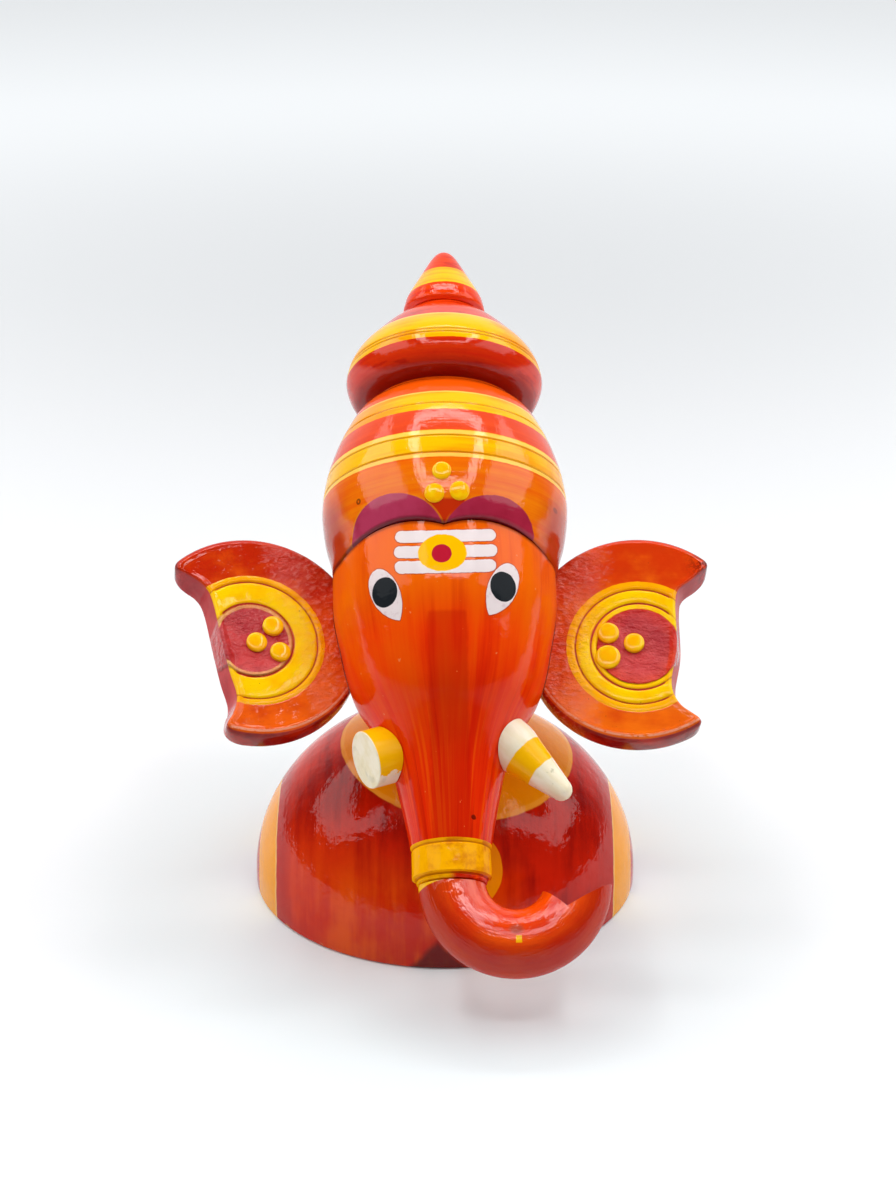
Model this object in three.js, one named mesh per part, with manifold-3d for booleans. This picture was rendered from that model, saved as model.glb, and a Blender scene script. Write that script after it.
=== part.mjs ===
// A small bust of Ganesha, glued up from turned and lacquered pieces of wood.
// Millimetres, +Z up. The origin is on the floor, under the middle of the dome that is the body.
// +X is the viewer's right and -Y is the front. The head, trunk and crown share one axis that
// leans back, so the elephant's face looks up at the viewer.
import * as THREE from 'three';
import { mergeVertices } from 'three/addons/utils/BufferGeometryUtils.js';
import Module from 'manifold-3d';

const wasm = await Module();
wasm.setup();

const degrees = THREE.MathUtils.degToRad;

// Gap left where one piece is glued to the next.
const GLUE_GAP = 0.3;

// The body: half of an egg turned about X, cut flat a little below its axis.
const DOME_HALF_LENGTH = 44;
const DOME_RADIUS = 39.9;
const DOME_AXIS_HEIGHT = 2.2;
const DOME_STEPS = 24;
const DOME_SIDES = 48;

// The axis of the head and crown: a point on it, its lean to the back and its roll sideways.
const HEAD_CENTRE = new THREE.Vector3(0.1, -8.1, 68.5);
const HEAD_LEAN = degrees(46);
const HEAD_ROLL = degrees(-1.4);
const CROWN_ROLL = degrees(-0.25);
const HEAD_SIDES = 32;
const CROWN_SIDES = 32;

// Heights along the head's axis, measured from the head's centre.
const TRUNK_END = -58.6;
const BAND_BOTTOM = -57.7;
const BAND_TOP = -51.4;
const HEAD_TOP = 9.4;
const LOBE_TOP_LIMIT = 14;
const GROOVE_DEPTH = 0.35;
const GROOVE_WIDTH = 0.9;

// The forehead rises into the crown as two low lobes, each the top of a circle seen from the front.
const LOBE_RADIUS = 26.4;
const LOBE_SPREAD = 8.7;
const LOBE_CENTRE_HEIGHT = -13.35;
const LOBE_BACK = 8;

// Radius and height of the pear that is the head and trunk, from the trunk's end up.
const TRUNK_END_RADIUS = 7.3;
const BAND_RADIUS = 8.2;
const HEAD_STATIONS = [
  [9.0, -47.5],
  [10.6, -39.9],
  [12.5, -32.3],
  [15.7, -25.6],
  [19.2, -19.9],
  [21.2, -14.2],
  [22.6, -7.6],
  [24.05, 0],
  [24.35, 7.6],
];
const HEAD_TOP_RADIUS = 24.1;

// Radius and height of the crown's lower tier, upper tier and finial.
const LOWER_TIER = [
  [24.3, 8.2],
  [25.0, 12.7],
  [26.3, 17.5],
  [27.1, 24.5],
  [26.5, 31],
  [24.9, 37],
  [22.7, 42.5],
  [19.9, 47.6],
  [16.6, 50.5],
];
const UPPER_TIER = [
  [16.6, 50.9],
  [20.2, 52.2],
  [22.2, 56.4],
  [21.8, 60.1],
  [20.0, 63.8],
  [16.7, 67.6],
  [13.2, 71.2],
  [8.4, 75.2],
];
const FINIAL = [
  [8.3, 75.6],
  [9.4, 77.4],
  [8.5, 80.4],
  [5.4, 86.0],
  [3.1, 90.2],
  [1.6, 92.0],
];
const FINIAL_TIP = 92.6;

// The curl: half of a ring in the plane of the head's axis and X, its end cut to a notch and a lip.
const CURL_TUBE_RADIUS = 6.95;
const CURL_RING_RADIUS = 12.9;
const CURL_CENTRE_HEIGHT = -58.1;
const CURL_START_ANGLE = degrees(174);
const CURL_END_ANGLE = degrees(362);
const CURL_STEPS = 25;
const CURL_QUARTER_SIDES = 5;
const CURL_NOTCH = [10.0, -6.8];
const CURL_INNER_CUT = [6.0, -3.0];
const CURL_LIP_CUT = [19.0, -1.8];

// The ears: slices of a disc with a rounded rim and two turned grooves.
// Each bite's outline runs outward and up from the middle of the ear's rings.
const EAR_THICKNESS = 7;
const EAR_RIM_ROUND = 1.6;
const EAR_RIM_STEPS = 3;
const EAR_SIDES = 40;
const EAR_GROOVE_DEPTH = 0.4;
const BITE_BEVEL = 1.1;
const EARS = {
  ear_left: {
    ringCentre: [-40.7, -15.9, 67.6],
    yaw: degrees(25),
    pitch: degrees(51),
    radius: 23.8,
    discOffset: [0.8, 1.1],
    grooves: [14.0, 8.8],
    outward: -1,
    bite: [
      [16.5, 24.5],
      [11.9, 20.3],
      [9.0, 17.7],
      [6.5, 14.4],
      [5.9, 10.5],
      [6.6, 1.5],
      [7.1, -6],
      [7.2, -11.8],
      [8.9, -15.4],
      [11.4, -17.8],
      [15.5, -22],
    ],
  },
  ear_right: {
    ringCentre: [41.6, -13, 64.7],
    yaw: degrees(-7.5),
    pitch: degrees(49.5),
    radius: 24.1,
    discOffset: [-0.4, 2.1],
    grooves: [13.5, 10.2],
    outward: 1,
    bite: [
      [19.5, 24.5],
      [14.6, 20.8],
      [10.7, 16.7],
      [7.9, 14.0],
      [7.4, 10.5],
      [8.2, 0.5],
      [7.5, -8],
      [9.2, -12.4],
      [12.3, -14.8],
      [15.8, -16.8],
      [20.5, -19.5],
    ],
  },
};

// The tusks: where each axis meets the head, and which way it points.
const WHOLE_TUSK = {
  base: [13.3, -31.4, 51.0],
  direction: [0.695, -0.563, -0.42],
  length: 17.6,
  baseRadius: 5.4,
  tipRadius: 2.3,
};
const BROKEN_TUSK = {
  base: [-10.9, -32.4, 48.9],
  direction: [-0.842, -0.507, 0.017],
  length: 6.4,
  radius: 6.1,
};
const TUSK_ROOT = 6;
const TUSK_SIDES = 24;
const TUSK_TIP_STEPS = 4;
const TUSK_EDGE_ROUND = 0.4;

// Colours of the lacquer and of the turned ivory-white wood.
const VERMILION = 0xd8400f;
const MAROON = 0x8f1712;
const EAR_RED = 0xc23a1c;
const IVORY = 0xeadcb4;

function lacquer(colour, roughness) {
  return new THREE.MeshStandardMaterial({ color: colour, roughness, metalness: 0 });
}

// A closed geometry, with its shared vertices merged, as a solid for cutting and joining.
function solidOf(geometry) {
  const bare = geometry.clone();
  bare.deleteAttribute('normal');
  bare.deleteAttribute('uv');
  const merged = mergeVertices(bare, 1e-4);
  return new wasm.Manifold(new wasm.Mesh({
    numProp: 3,
    vertProperties: new Float32Array(merged.attributes.position.array),
    triVerts: new Uint32Array(merged.index.array),
  }));
}

function geometryOf(solid) {
  const mesh = solid.getMesh();
  const geometry = new THREE.BufferGeometry();
  geometry.setAttribute('position', new THREE.BufferAttribute(mesh.vertProperties, 3));
  geometry.setIndex(new THREE.BufferAttribute(mesh.triVerts, 1));
  geometry.computeVertexNormals();
  return geometry;
}

// A profile of [radius, height] pairs turned about Z.
function turned(profile, sides) {
  const points = profile.map(([radius, height]) => new THREE.Vector2(radius, height));
  return new THREE.LatheGeometry(points, sides).rotateX(Math.PI / 2);
}

// A smooth curve through stations, with a number of steps for each span.
function smooth(stations, stepsPerSpan) {
  const curve = new THREE.SplineCurve(stations.map(([x, y]) => new THREE.Vector2(x, y)));
  return curve.getPoints((stations.length - 1) * stepsPerSpan).map((point) => [point.x, point.y]);
}

// The four points of a groove turned into a face of the given radius, at the given height.
function groove(radius, height) {
  return [
    [radius, height - GROOVE_WIDTH / 2],
    [radius - GROOVE_DEPTH, height - GROOVE_WIDTH / 6],
    [radius - GROOVE_DEPTH, height + GROOVE_WIDTH / 6],
    [radius, height + GROOVE_WIDTH / 2],
  ];
}

// A group whose Z axis is the axis of the head, with its origin at the head's centre.
function headFrame(roll) {
  const group = new THREE.Group();
  group.position.copy(HEAD_CENTRE);
  group.rotation.set(-HEAD_LEAN, roll, 0, 'XYZ');
  group.updateMatrixWorld(true);
  return group;
}

// The pear of the head and trunk as turned, before its top is shaped.
function pearGeometry() {
  const profile = [
    [0, TRUNK_END],
    [TRUNK_END_RADIUS, TRUNK_END],
    ...groove(TRUNK_END_RADIUS + 0.1, BAND_BOTTOM),
    ...groove(BAND_RADIUS, BAND_TOP),
    ...smooth(HEAD_STATIONS, 2),
    [HEAD_TOP_RADIUS, LOBE_TOP_LIMIT],
    [0, LOBE_TOP_LIMIT],
  ];
  return turned(profile, HEAD_SIDES);
}

// Everything below the joint of head and crown: flat at the back, two lobes at the front.
function belowJoint(gap) {
  const reach = 200;
  const flat = new THREE.BoxGeometry(reach, reach, reach).translate(0, 0, HEAD_TOP + gap - reach / 2);
  const lobes = [-LOBE_SPREAD, LOBE_SPREAD].map((x) => {
    const depth = 40;
    return new THREE.CylinderGeometry(LOBE_RADIUS + gap, LOBE_RADIUS + gap, depth, 64)
      .translate(x, gap - LOBE_BACK - depth / 2, LOBE_CENTRE_HEIGHT);
  });
  return solidOf(flat).add(solidOf(lobes[0])).add(solidOf(lobes[1]));
}

function headGeometry() {
  return geometryOf(solidOf(pearGeometry()).intersect(belowJoint(0)));
}

// The head and the crown's lower tier grown by the glue gap, in the figure's frame, for cutting
// what is glued onto them.
function headSeat() {
  const grow = ([radius, height]) => [radius + GLUE_GAP, height];
  const head = [
    [0, TRUNK_END],
    [TRUNK_END_RADIUS + GLUE_GAP, TRUNK_END],
    [BAND_RADIUS + GLUE_GAP, BAND_TOP],
    ...smooth(HEAD_STATIONS, 2).map(grow),
    [HEAD_TOP_RADIUS + GLUE_GAP, LOBE_TOP_LIMIT],
    [0, LOBE_TOP_LIMIT],
  ];
  const tier = smooth(LOWER_TIER, 2).map(grow);
  const crown = [[0, tier[0][1]], ...tier, [0, tier[tier.length - 1][1]]];
  const placed = (profile, sides, roll) => (
    solidOf(turned(profile, sides).applyMatrix4(headFrame(roll).matrixWorld))
  );
  return placed(head, HEAD_SIDES, HEAD_ROLL).add(placed(crown, CROWN_SIDES, CROWN_ROLL));
}

// The crown, in its own frame, with its underside shaped to sit on the head.
function crownGeometry() {
  const profile = [
    [0, LOWER_TIER[0][1]],
    ...smooth(LOWER_TIER, 2),
    ...smooth(UPPER_TIER, 2),
    ...smooth(FINIAL, 1),
    [0, FINIAL_TIP],
  ];
  const toCrown = headFrame(CROWN_ROLL).matrixWorld.clone().invert();
  toCrown.multiply(headFrame(HEAD_ROLL).matrixWorld);
  const below = belowJoint(GLUE_GAP).transform(toCrown.elements);
  return geometryOf(solidOf(turned(profile, CROWN_SIDES)).subtract(below));
}

// The body dome, cut flat below, with a shallow seat where the head is glued on.
function domeGeometry() {
  const profile = [];
  for (let step = 0; step <= DOME_STEPS; step += 1) {
    const angle = -Math.PI / 2 + Math.PI * step / DOME_STEPS;
    const onAxis = step === 0 || step === DOME_STEPS;
    profile.push([onAxis ? 0 : DOME_RADIUS * Math.cos(angle), DOME_HALF_LENGTH * Math.sin(angle)]);
  }
  const egg = turned(profile, DOME_SIDES).rotateY(Math.PI / 2).translate(0, 0, DOME_AXIS_HEIGHT);
  const reach = 3 * DOME_HALF_LENGTH;
  const below = new THREE.BoxGeometry(reach, reach, reach).translate(0, 0, -reach / 2);
  return geometryOf(solidOf(egg).subtract(solidOf(below)).subtract(headSeat()));
}

// The curl in the head's frame: a bent tube, sawn flat above and notched at its end.
function curlGeometry() {
  const arc = new THREE.ArcCurve(0, 0, CURL_RING_RADIUS, CURL_START_ANGLE, CURL_END_ANGLE, false);
  const path = new THREE.CatmullRomCurve3(
    arc.getPoints(CURL_STEPS).map((point) => new THREE.Vector3(point.x, 0, point.y)),
  );
  const section = new THREE.Shape().absarc(0, 0, CURL_TUBE_RADIUS, 0, 2 * Math.PI, false);
  const tube = new THREE.ExtrudeGeometry(section, {
    steps: CURL_STEPS,
    curveSegments: 2 * CURL_QUARTER_SIDES,
    extrudePath: path,
  });
  const notch = new THREE.Vector2(...CURL_NOTCH);
  const beyondInner = new THREE.Vector2(...CURL_INNER_CUT).sub(notch).multiplyScalar(2).add(notch);
  const beyondLip = new THREE.Vector2(...CURL_LIP_CUT).sub(notch).multiplyScalar(2).add(notch);
  const wedge = new THREE.Shape([
    notch,
    beyondLip,
    new THREE.Vector2(beyondLip.x, CURL_RING_RADIUS),
    new THREE.Vector2(beyondInner.x, CURL_RING_RADIUS),
    beyondInner,
  ]);
  const depth = 4 * CURL_TUBE_RADIUS;
  const cutter = new THREE.ExtrudeGeometry(wedge, { depth, bevelEnabled: false })
    .translate(0, 0, -depth / 2)
    .rotateX(Math.PI / 2);
  const sawnAbove = new THREE.BoxGeometry(3 * CURL_TUBE_RADIUS, depth, depth)
    .translate(-CURL_RING_RADIUS, 0, TRUNK_END - GLUE_GAP - CURL_CENTRE_HEIGHT + depth / 2);
  const curl = solidOf(tube).subtract(solidOf(cutter)).subtract(solidOf(sawnAbove));
  return geometryOf(curl).translate(CURL_RING_RADIUS, 0, CURL_CENTRE_HEIGHT);
}

// A matrix whose Z axis is the ear's front face, X the viewer's right and Y up along the face.
function earMatrix({ ringCentre, yaw, pitch }) {
  const normal = new THREE.Vector3(
    Math.sin(yaw) * Math.cos(pitch),
    -Math.cos(yaw) * Math.cos(pitch),
    Math.sin(pitch),
  );
  const across = new THREE.Vector3(0, 0, 1).cross(normal).normalize();
  const up = normal.clone().cross(across);
  return new THREE.Matrix4().makeBasis(across, up, normal).setPosition(...ringCentre);
}

// The ear's disc, its front face at Z = 0, with a rounded rim. The rings are turned on it later.
function earBlank(ear) {
  const rim = [];
  for (let step = 0; step <= EAR_RIM_STEPS; step += 1) {
    const angle = Math.PI / 2 * step / EAR_RIM_STEPS;
    rim.push([
      ear.radius - EAR_RIM_ROUND * (1 - Math.sin(angle)),
      -EAR_THICKNESS + EAR_RIM_ROUND * (1 - Math.cos(angle)),
    ]);
  }
  const front = rim.map(([radius, height]) => [radius, -EAR_THICKNESS - height]).reverse();
  const profile = [[0, -EAR_THICKNESS], ...rim, ...front, [0, 0]];
  return solidOf(turned(profile, EAR_SIDES).translate(...ear.discOffset, 0));
}

// A thin ring of V section, for cutting one groove into the ear's face.
function earGroove(radius) {
  const lift = 0.1;
  const half = GROOVE_WIDTH / 2 * (1 + lift / EAR_GROOVE_DEPTH);
  const section = [[radius, -EAR_GROOVE_DEPTH], [radius + half, lift], [radius - half, lift]];
  return solidOf(turned([...section, section[0]], EAR_SIDES));
}

// The bite as a prism whose back is a little wider than its front.
function earBite(ear) {
  const outline = smooth(ear.bite, 2).map(([out, up]) => new THREE.Vector2(ear.outward * out, up));
  const far = ear.outward * 2 * ear.radius;
  const shape = new THREE.Shape([
    ...outline,
    new THREE.Vector2(far, outline[outline.length - 1].y),
    new THREE.Vector2(far, outline[0].y),
  ]);
  const depth = 3 * EAR_THICKNESS;
  const slant = -ear.outward * BITE_BEVEL / EAR_THICKNESS;
  return solidOf(new THREE.ExtrudeGeometry(shape, { depth, bevelEnabled: false })
    .translate(0, 0, -depth / 2)
    .applyMatrix4(new THREE.Matrix4().makeShear(0, 0, 0, 0, slant, 0)));
}

function earGeometry(ear) {
  const sawn = ear.grooves
    .reduce((disc, radius) => disc.subtract(earGroove(radius)), earBlank(ear))
    .subtract(earBite(ear));
  return geometryOf(sawn.transform(earMatrix(ear).elements).subtract(headSeat()));
}

// Stands a piece that was made along +Z on the head, and fits its root to the head's surface.
function onHead(geometry, { base, direction }) {
  const axis = new THREE.Vector3(...direction).normalize();
  const turn = new THREE.Quaternion().setFromUnitVectors(new THREE.Vector3(0, 0, 1), axis);
  return geometryOf(solidOf(geometry.applyQuaternion(turn).translate(...base)).subtract(headSeat()));
}

function wholeTuskGeometry() {
  const { length, baseRadius, tipRadius } = WHOLE_TUSK;
  const profile = [[0, -TUSK_ROOT], [baseRadius, -TUSK_ROOT], [baseRadius, 2]];
  const slope = Math.atan2(baseRadius - tipRadius, length - 2);
  for (let step = 0; step <= TUSK_TIP_STEPS; step += 1) {
    const angle = slope + (Math.PI / 2 - slope) * step / TUSK_TIP_STEPS;
    const radius = step === TUSK_TIP_STEPS ? 0 : tipRadius * Math.cos(angle);
    profile.push([radius, length - tipRadius + tipRadius * Math.sin(angle)]);
  }
  return onHead(turned(profile, TUSK_SIDES), WHOLE_TUSK);
}

function brokenTuskGeometry() {
  const { length, radius } = BROKEN_TUSK;
  const profile = [
    [0, -TUSK_ROOT],
    [radius, -TUSK_ROOT],
    [radius, length - TUSK_EDGE_ROUND],
    [radius - TUSK_EDGE_ROUND, length],
    [0, length],
  ];
  return onHead(turned(profile, TUSK_SIDES), BROKEN_TUSK);
}

function piece(name, geometry, colour, roughness) {
  const mesh = new THREE.Mesh(geometry, lacquer(colour, roughness));
  mesh.name = name;
  return mesh;
}

const figure = new THREE.Group();
figure.add(piece('body_dome', domeGeometry(), MAROON, 0.2));

const head = headFrame(HEAD_ROLL);
head.add(piece('head_trunk', headGeometry(), VERMILION, 0.22));
head.add(piece('trunk_curl', curlGeometry(), VERMILION, 0.22));
figure.add(head);

const crown = headFrame(CROWN_ROLL);
crown.add(piece('crown', crownGeometry(), VERMILION, 0.2));
figure.add(crown);

for (const [name, ear] of Object.entries(EARS)) {
  figure.add(piece(name, earGeometry(ear), EAR_RED, 0.3));
}
figure.add(piece('tusk_whole', wholeTuskGeometry(), IVORY, 0.35));
figure.add(piece('tusk_broken', brokenTuskGeometry(), IVORY, 0.4));

export default figure;
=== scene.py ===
"""A small bust of Ganesha in turned, lacquered and painted wood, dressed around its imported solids.

The shapes are worked out in millimetres, in the frame of the piece that they belong to, and put
into metres in the figure's frame by the matrix of that piece. The materials read the same frames,
so what is painted on a piece is placed by its height on the axis and its angle round it.
"""

from functools import reduce
from math import asin, atan2, cos, dist, hypot, pi, radians, sin, sqrt

import bmesh
import bpy
from mathutils import Matrix, Vector, noise


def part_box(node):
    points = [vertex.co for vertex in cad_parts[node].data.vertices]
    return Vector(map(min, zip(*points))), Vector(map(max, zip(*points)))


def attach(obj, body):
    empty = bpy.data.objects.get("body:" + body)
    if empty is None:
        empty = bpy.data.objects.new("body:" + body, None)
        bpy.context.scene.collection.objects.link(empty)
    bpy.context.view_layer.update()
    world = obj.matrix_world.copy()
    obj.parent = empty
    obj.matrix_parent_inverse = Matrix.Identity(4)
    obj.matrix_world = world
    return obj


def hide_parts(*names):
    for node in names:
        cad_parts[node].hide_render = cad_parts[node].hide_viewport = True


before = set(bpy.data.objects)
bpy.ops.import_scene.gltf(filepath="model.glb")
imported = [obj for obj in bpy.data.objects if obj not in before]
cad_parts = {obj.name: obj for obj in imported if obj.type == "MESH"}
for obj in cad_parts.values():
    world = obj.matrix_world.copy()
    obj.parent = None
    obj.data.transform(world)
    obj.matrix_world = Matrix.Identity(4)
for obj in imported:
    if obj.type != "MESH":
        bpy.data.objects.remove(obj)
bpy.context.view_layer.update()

MM = 0.001
FULL_TURN = 2 * pi
QUARTER_TURN = pi / 2
UP = Vector((0, 0, 1))
SHARP_ANGLE = 38

# The dome: half of an egg turned about X, cut flat below.
DOME_AXIS = 2.2
DOME_LOW, DOME_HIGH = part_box("body_dome")
DOME_HALF = (DOME_HIGH.x - DOME_LOW.x) / 2 / MM
DOME_RADIUS = DOME_HIGH.z / MM - DOME_AXIS
DOME_EDGE = 0.5
DOME_SIDES, DOME_ROWS = 256, 110

# The axis that the head, the trunk and the crown share.
HEAD_CENTRE = Vector((0.1, -8.1, 68.5))
HEAD_LEAN = radians(46)
HEAD_ROLL = radians(-1.4)
CROWN_ROLL = radians(-0.25)
JOINT_GAP = 0.25
HEAD_SIDES, CROWN_SIDES = 192, 224
CUTTER_SIDES, CUTTER_GROW = 160, 0.15

# Heights on that axis, and the two lobes in which the head ends under the crown. Below the level
# height of the head, and above that of the crown, every ring of points lies flat.
TRUNK_END = -58.6
BAND_BOTTOM = -57.7
BAND_TOP = -51.4
HEAD_TOP = 9.4
LOBE_RADIUS = 26.4
LOBE_SPREAD = 8.7
LOBE_HEIGHT = -13.35
LOBE_BACK = (-4, -9)
LEVEL_HEAD = 6
LEVEL_CROWN = 16

# Radius and height of each turned profile.
TRUNK_END_RADIUS = 7.3
BAND_RADIUS = 8.2
TRUNK_TOP_RADIUS = 8.45
HEAD_STATIONS = [
    (9, -47.5), (10.6, -39.9), (12.5, -32.3), (15.7, -25.6), (19.2, -19.9),
    (21.2, -14.2), (22.6, -7.6), (24.05, 0), (24.35, 7.6), (24.1, 14),
]
LOWER_TIER = [
    (24.3, 8.2), (25, 12.7), (26.3, 17.5), (27.1, 24.5), (26.5, 31),
    (24.9, 37), (22.7, 42.5), (19.9, 47.6), (16.6, 50.5),
]
UPPER_TIER = [
    (16.6, 50.9), (20.2, 52.2), (22.2, 56.4), (21.8, 60.1), (20, 63.8),
    (16.7, 67.6), (13.2, 71.2), (8.4, 75.2),
]
FINIAL = [
    (8.7, 75.2), (9.4, 76.3), (9.15, 78), (8.4, 80.3), (5.4, 86), (3.1, 90.2), (1.6, 92), (0, 92.6),
]
LOWER_GROOVES = [27.1, 31.35, 40.7]
UPPER_GROOVES = [58.95, 59.85]
GROOVE_DEPTH = 0.2
GROOVE_HALF = 0.4

# The curl: half of a ring, its end cut to a notch and a lip.
CURL_TUBE = 6.95
CURL_RING = 12.9
CURL_HEIGHT = -58.1
CURL_SAWN_HEIGHT = -58.9
CURL_NOTCH = (10, -6.8)
CURL_INNER_CUT = (6, -3)
CURL_LIP_CUT = (19, -1.8)
CURL_END_RANGE = (radians(270), radians(375))
CURL_STEPS, CURL_QUARTER, CURL_END_STEPS = 150, 40, 16
CURL_EDGE_ROUND = 0.35

# The ears. Each bite's outline runs outward and up from the middle of the ear's rings.
EAR_THICKNESS = 7
RIM_ROUND = 1.6
BITE_ROUND = 0.6
BITE_BEVEL = 1.1
EAR_DISH = 0.5
CENTRE_DISH = 0.42
EAR_STEPS, EAR_FRONT_ROWS, EAR_BACK_ROWS = 190, 110, 20
EARS = {
    "ear_left": {
        "centre": (-40.7, -15.9, 67.6),
        "yaw": 25, "pitch": 51, "radius": 23.8, "offset": (0.8, 1.1), "outward": -1,
        "tip_round": 2.2,
        "bite": [
            (16.5, 24.5), (11.9, 20.3), (9, 17.7), (6.5, 14.4), (5.9, 10.5), (6.6, 1.5),
            (7.1, -6), (7.2, -11.8), (8.9, -15.4), (11.4, -17.8), (15.5, -22),
        ],
        "grooves": (14, 8.8),
        "yellow": (8.5, 15.5),
        "pale_ring": (7.7, 8.6),
        "centre_tones": [(168, 30, 38), (206, 70, 72)],
        "face_tones": [(194, 38, 5), (242, 100, 12)],
        "dots": [(5.1, 2.2, 2.25), (0.5, -0.8, 2.2), (4.8, -4.1, 2.2)],
    },
    "ear_right": {
        "centre": (41.6, -13, 64.7),
        "yaw": -7.5, "pitch": 49.5, "radius": 24.1, "offset": (-0.4, 2.1), "outward": 1,
        "tip_round": 1.6,
        "bite": [
            (19.5, 24.5), (14.6, 20.8), (10.7, 16.7), (7.9, 14), (7.4, 10.5), (8.2, 0.5),
            (7.5, -8), (9.2, -12.4), (12.3, -14.8), (15.8, -16.8), (20.5, -19.5),
        ],
        "grooves": (13.5, 10.2),
        "yellow": (8.9, 15.4),
        "pale_ring": None,
        "centre_tones": [(204, 26, 12), (224, 62, 26)],
        "face_tones": [(214, 56, 6), (244, 112, 14)],
        "dots": [(-6.6, 2.6, 2.35), (-0.9, 0.6, 2.2), (-6.3, -3.1, 2.7)],
    },
}

# The tusks: where each axis meets the head, which way it points, and its size.
WHOLE_TUSK = {"base": (13.3, -31.4, 51), "direction": (0.695, -0.563, -0.42), "length": 17.6}
WHOLE_RADII = (5.4, 2.3)
WHOLE_STRAIGHT = 2
BROKEN_TUSK = {"base": (-10.9, -32.4, 48.9), "direction": (-0.842, -0.507, 0.017), "length": 6.4}
BROKEN_RADIUS = 6.1
TUSK_ROOT = 6
TUSK_SIDES = 72

# The drops of thick paint on the crown: height, angle in degrees and radius.
CROWN_DOTS = [(22.7, -1.3, 2), (17.9, -4.7, 2.1), (18.4, 6.7, 2.1)]
CROWN_DOT_HEIGHT, EAR_DOT_HEIGHT = 0.45, 0.5
DROP_SIDES, DROP_STEPS = 40, 12

# What is painted flat, in millimetres. Widths are measured round the axis, at these two radii.
HEAD_ARC, CROWN_ARC = 24, 26.5
SOFT_EDGE = 0.12
STRIPE_HALF = 4
FOREHEAD_LINES = [(8.95, -9, 9.7), (5.45, -9.3, 9.9), (2.1, -9.2, 9.5)]
FOREHEAD_SAG = 0.0095
LINE_HALF = 1.36
EYES = [(-13.4, -1.6, -25), (12.7, -1.1, 26)]
EYE_CURVE, EYE_HALF, PUPIL_RADIUS = 9.05, 3.35, 2.95
CROWN_BANDS = [(25.95, 32.8), (38.7, 44.3), (57.5, 65.7), (79.8, 85.5)]
CROWN_PALE_LINES = [(26, 26.85), (31.7, 32.7), (43.95, 44.35), (65.4, 65.85)]
CROWN_LOBES = [(-12.4, 12.6, 8, 18.9), (11.7, 12.2, 8, 18.3)]

# Colours, as the eye reads them on the screen, from 0 to 255. A pair is the two ends of a mix.
YELLOW = (255, 190, 2)
AMBER = (214, 112, 4)
MAROON = (128, 14, 14)
GROOVE = (178, 84, 6)

# The head and the trunk.
VERMILION = (242, 42, 2)
ORANGE = (248, 98, 3)
BROW = (246, 116, 3)
TRUNK = (232, 28, 2)
DEEP_RED = (196, 20, 2)
RUNS = (246, 84, 4)
WHITE = (238, 224, 224)
SOILED = (206, 176, 180)
PAINT_EDGE = (140, 62, 40)
PUPIL = (32, 36, 40)
SPOT = (190, 28, 52)
BAND = (255, 178, 2)
PAINTED_SHADE_UNDER_CROWN = (120, 10, 6)
SPECK = (70, 12, 4)
PALE_SPECK = (246, 150, 90)

# The crown.
CROWN_REDS = [(222, 44, 10), (242, 72, 8)]
CROWN_AMBERS = [(238, 94, 2), (246, 128, 2)]
UPPER = (200, 30, 6)
MOTTLE = (170, 18, 6)
PAINTED_SHEEN_CORAL = (232, 84, 44)
PAINTED_SHADE_FAR_SIDE = (178, 40, 6)
SMUDGED = (246, 146, 2)
PALE_YELLOW = (255, 226, 120)
WAIST = (236, 84, 4)
WEDGE = (204, 48, 6)
LOBE_TONES = [(184, 58, 92), (172, 36, 64)]
PURPLE = (150, 22, 48)
HEM = (232, 150, 30)
SCAR = (110, 30, 6)
KNOT = (90, 44, 6)
PAINTED_SHADE_AT_CROWN_RIM = (84, 8, 8)

# The dome.
DOME_DARKS = [(144, 7, 4), (204, 30, 4)]
DOME_PAINTED_LIGHT_TONES = [(210, 36, 4), (238, 88, 6)]
PAINTED_TRUNK_SHADOW = (92, 6, 10)
DOME_LEFT = (226, 50, 10)
DOME_END = (190, 30, 14)
END_BAND = (252, 162, 20)
END_LINE = (250, 196, 110)
COLLAR = (240, 156, 4)
PAINTED_LIGHT_COLLAR_EDGE = (246, 178, 60)
DISC = (242, 150, 4)
BARE_WOOD = (226, 176, 110)

# The ears.
NEAR_HEAD = (200, 30, 18)
RING_YELLOWS = [(255, 208, 2), (252, 184, 2)]
OUTER_RING = (250, 150, 4)
PALE_RING = (246, 190, 110)
PAINTED_SHADE_BITE_TONES = [(172, 26, 34), (204, 54, 54)]
PAINTED_SHADE_RIM_TONES = [(134, 10, 8), (196, 40, 8)]
PALE_EDGE_LINE = (250, 172, 140)
EAR_SPECK = (84, 12, 8)
TIP_CHIP = (90, 16, 8)
PAINTED_CRACKLE_GLINTS = (240, 150, 130)

# The curl, the tusks, the drops of paint and the floor.
CURL_TONES = [(222, 44, 2), (248, 88, 3)]
PAINTED_CURL_UNDERSHADE = (168, 14, 6)
CURL_SMUDGE = (140, 74, 62)
IVORY = (252, 242, 218)
WHOLE_GRAIN = (244, 230, 194)
BROKEN_GRAIN = (242, 228, 190)
TIP = (150, 150, 100)
SAWN_GREY = (150, 146, 120)
DOT_YELLOWS = [(255, 182, 0), (255, 202, 8)]
FLOOR_WHITE = (230, 231, 233)
FLOOR_FRONT_PAINTED_SHADE = (196, 197, 199)
FLOOR_TINT_AGAINST_BOUNCE = (220, 230, 232)

LACQUER_IOR = 1.4
CURL_IOR = 1.6

CAMERA_PLACE = (0.0007, -0.38204, 0.2378)
CAMERA_PITCH = radians(66.39)
CAMERA_LENS, CAMERA_SENSOR = 57.3, 36

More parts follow.
